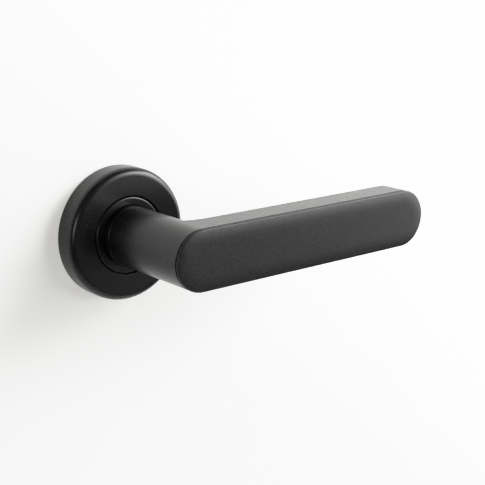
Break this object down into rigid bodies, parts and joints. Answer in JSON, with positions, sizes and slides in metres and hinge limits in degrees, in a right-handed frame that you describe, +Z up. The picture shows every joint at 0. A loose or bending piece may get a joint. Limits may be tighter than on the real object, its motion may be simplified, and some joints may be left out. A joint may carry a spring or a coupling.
{
  "type": "lever handle on round rose",
  "caption": "Straight flat door lever with rounded ends on a round rose, sprung to return level, with its square spindle and through bolts.",
  "frame": {"origin": "the point where the lever's turning axis meets the door's face, in the plane of the rose's back", "axes": "+X along the lever towards its free end, +Y into the door along the spindle, +Z up; the user's side is -Y"},
  "size_m": [0.1404, 0.108, 0.052],
  "materials": {
    "black_powder_coat": "fine matte powder coat",
    "black_face_coat": "fine matte powder coat, slightly grainier",
    "black_collar": "satin black",
    "black_nylon": "glass-filled nylon",
    "zinc_plated_steel": "bright zinc plate",
    "spring_steel": "oiled dark spring steel",
    "white_acetal": "natural acetal",
    "bonding_foam": "acrylic foam tape"
  },
  "bodies": {
    "rose": {"rose_cover": "black_powder_coat", "bearing_collar": "black_collar", "base_plate": "black_nylon", "backing_plate": "zinc_plated_steel", "plate_rivet_1": "zinc_plated_steel", "plate_rivet_2": "zinc_plated_steel", "plate_rivet_3": "zinc_plated_steel", "plate_rivet_4": "zinc_plated_steel", "stop_pin_level": "zinc_plated_steel", "stop_pin_pressed": "zinc_plated_steel", "cover_snap_ring": "spring_steel", "return_spring": "spring_steel", "fixing_bolt_upper": "zinc_plated_steel", "fixing_bolt_lower": "zinc_plated_steel", "sleeve_nut_upper": "zinc_plated_steel", "sleeve_nut_lower": "zinc_plated_steel"},
    "lever": {"lever_body": "black_powder_coat", "face_plate": "black_face_coat", "bonding_pad": "bonding_foam", "locating_dowel_inner": "zinc_plated_steel", "locating_dowel_outer": "zinc_plated_steel", "spindle": "zinc_plated_steel", "spring_driver": "zinc_plated_steel", "thrust_washer": "white_acetal", "circlip": "spring_steel", "grub_screw": "spring_steel"}
  },
  "joints": [
    {"name": "lever_turn", "type": "hinge", "parent": "rose", "child": "lever", "pos_m": [0, 0, 0], "axis": [0, 1, 0], "range_deg": [0, 45], "stiffness_Nm_per_rad": 0.93, "springref_deg": -25.21}
  ]
}
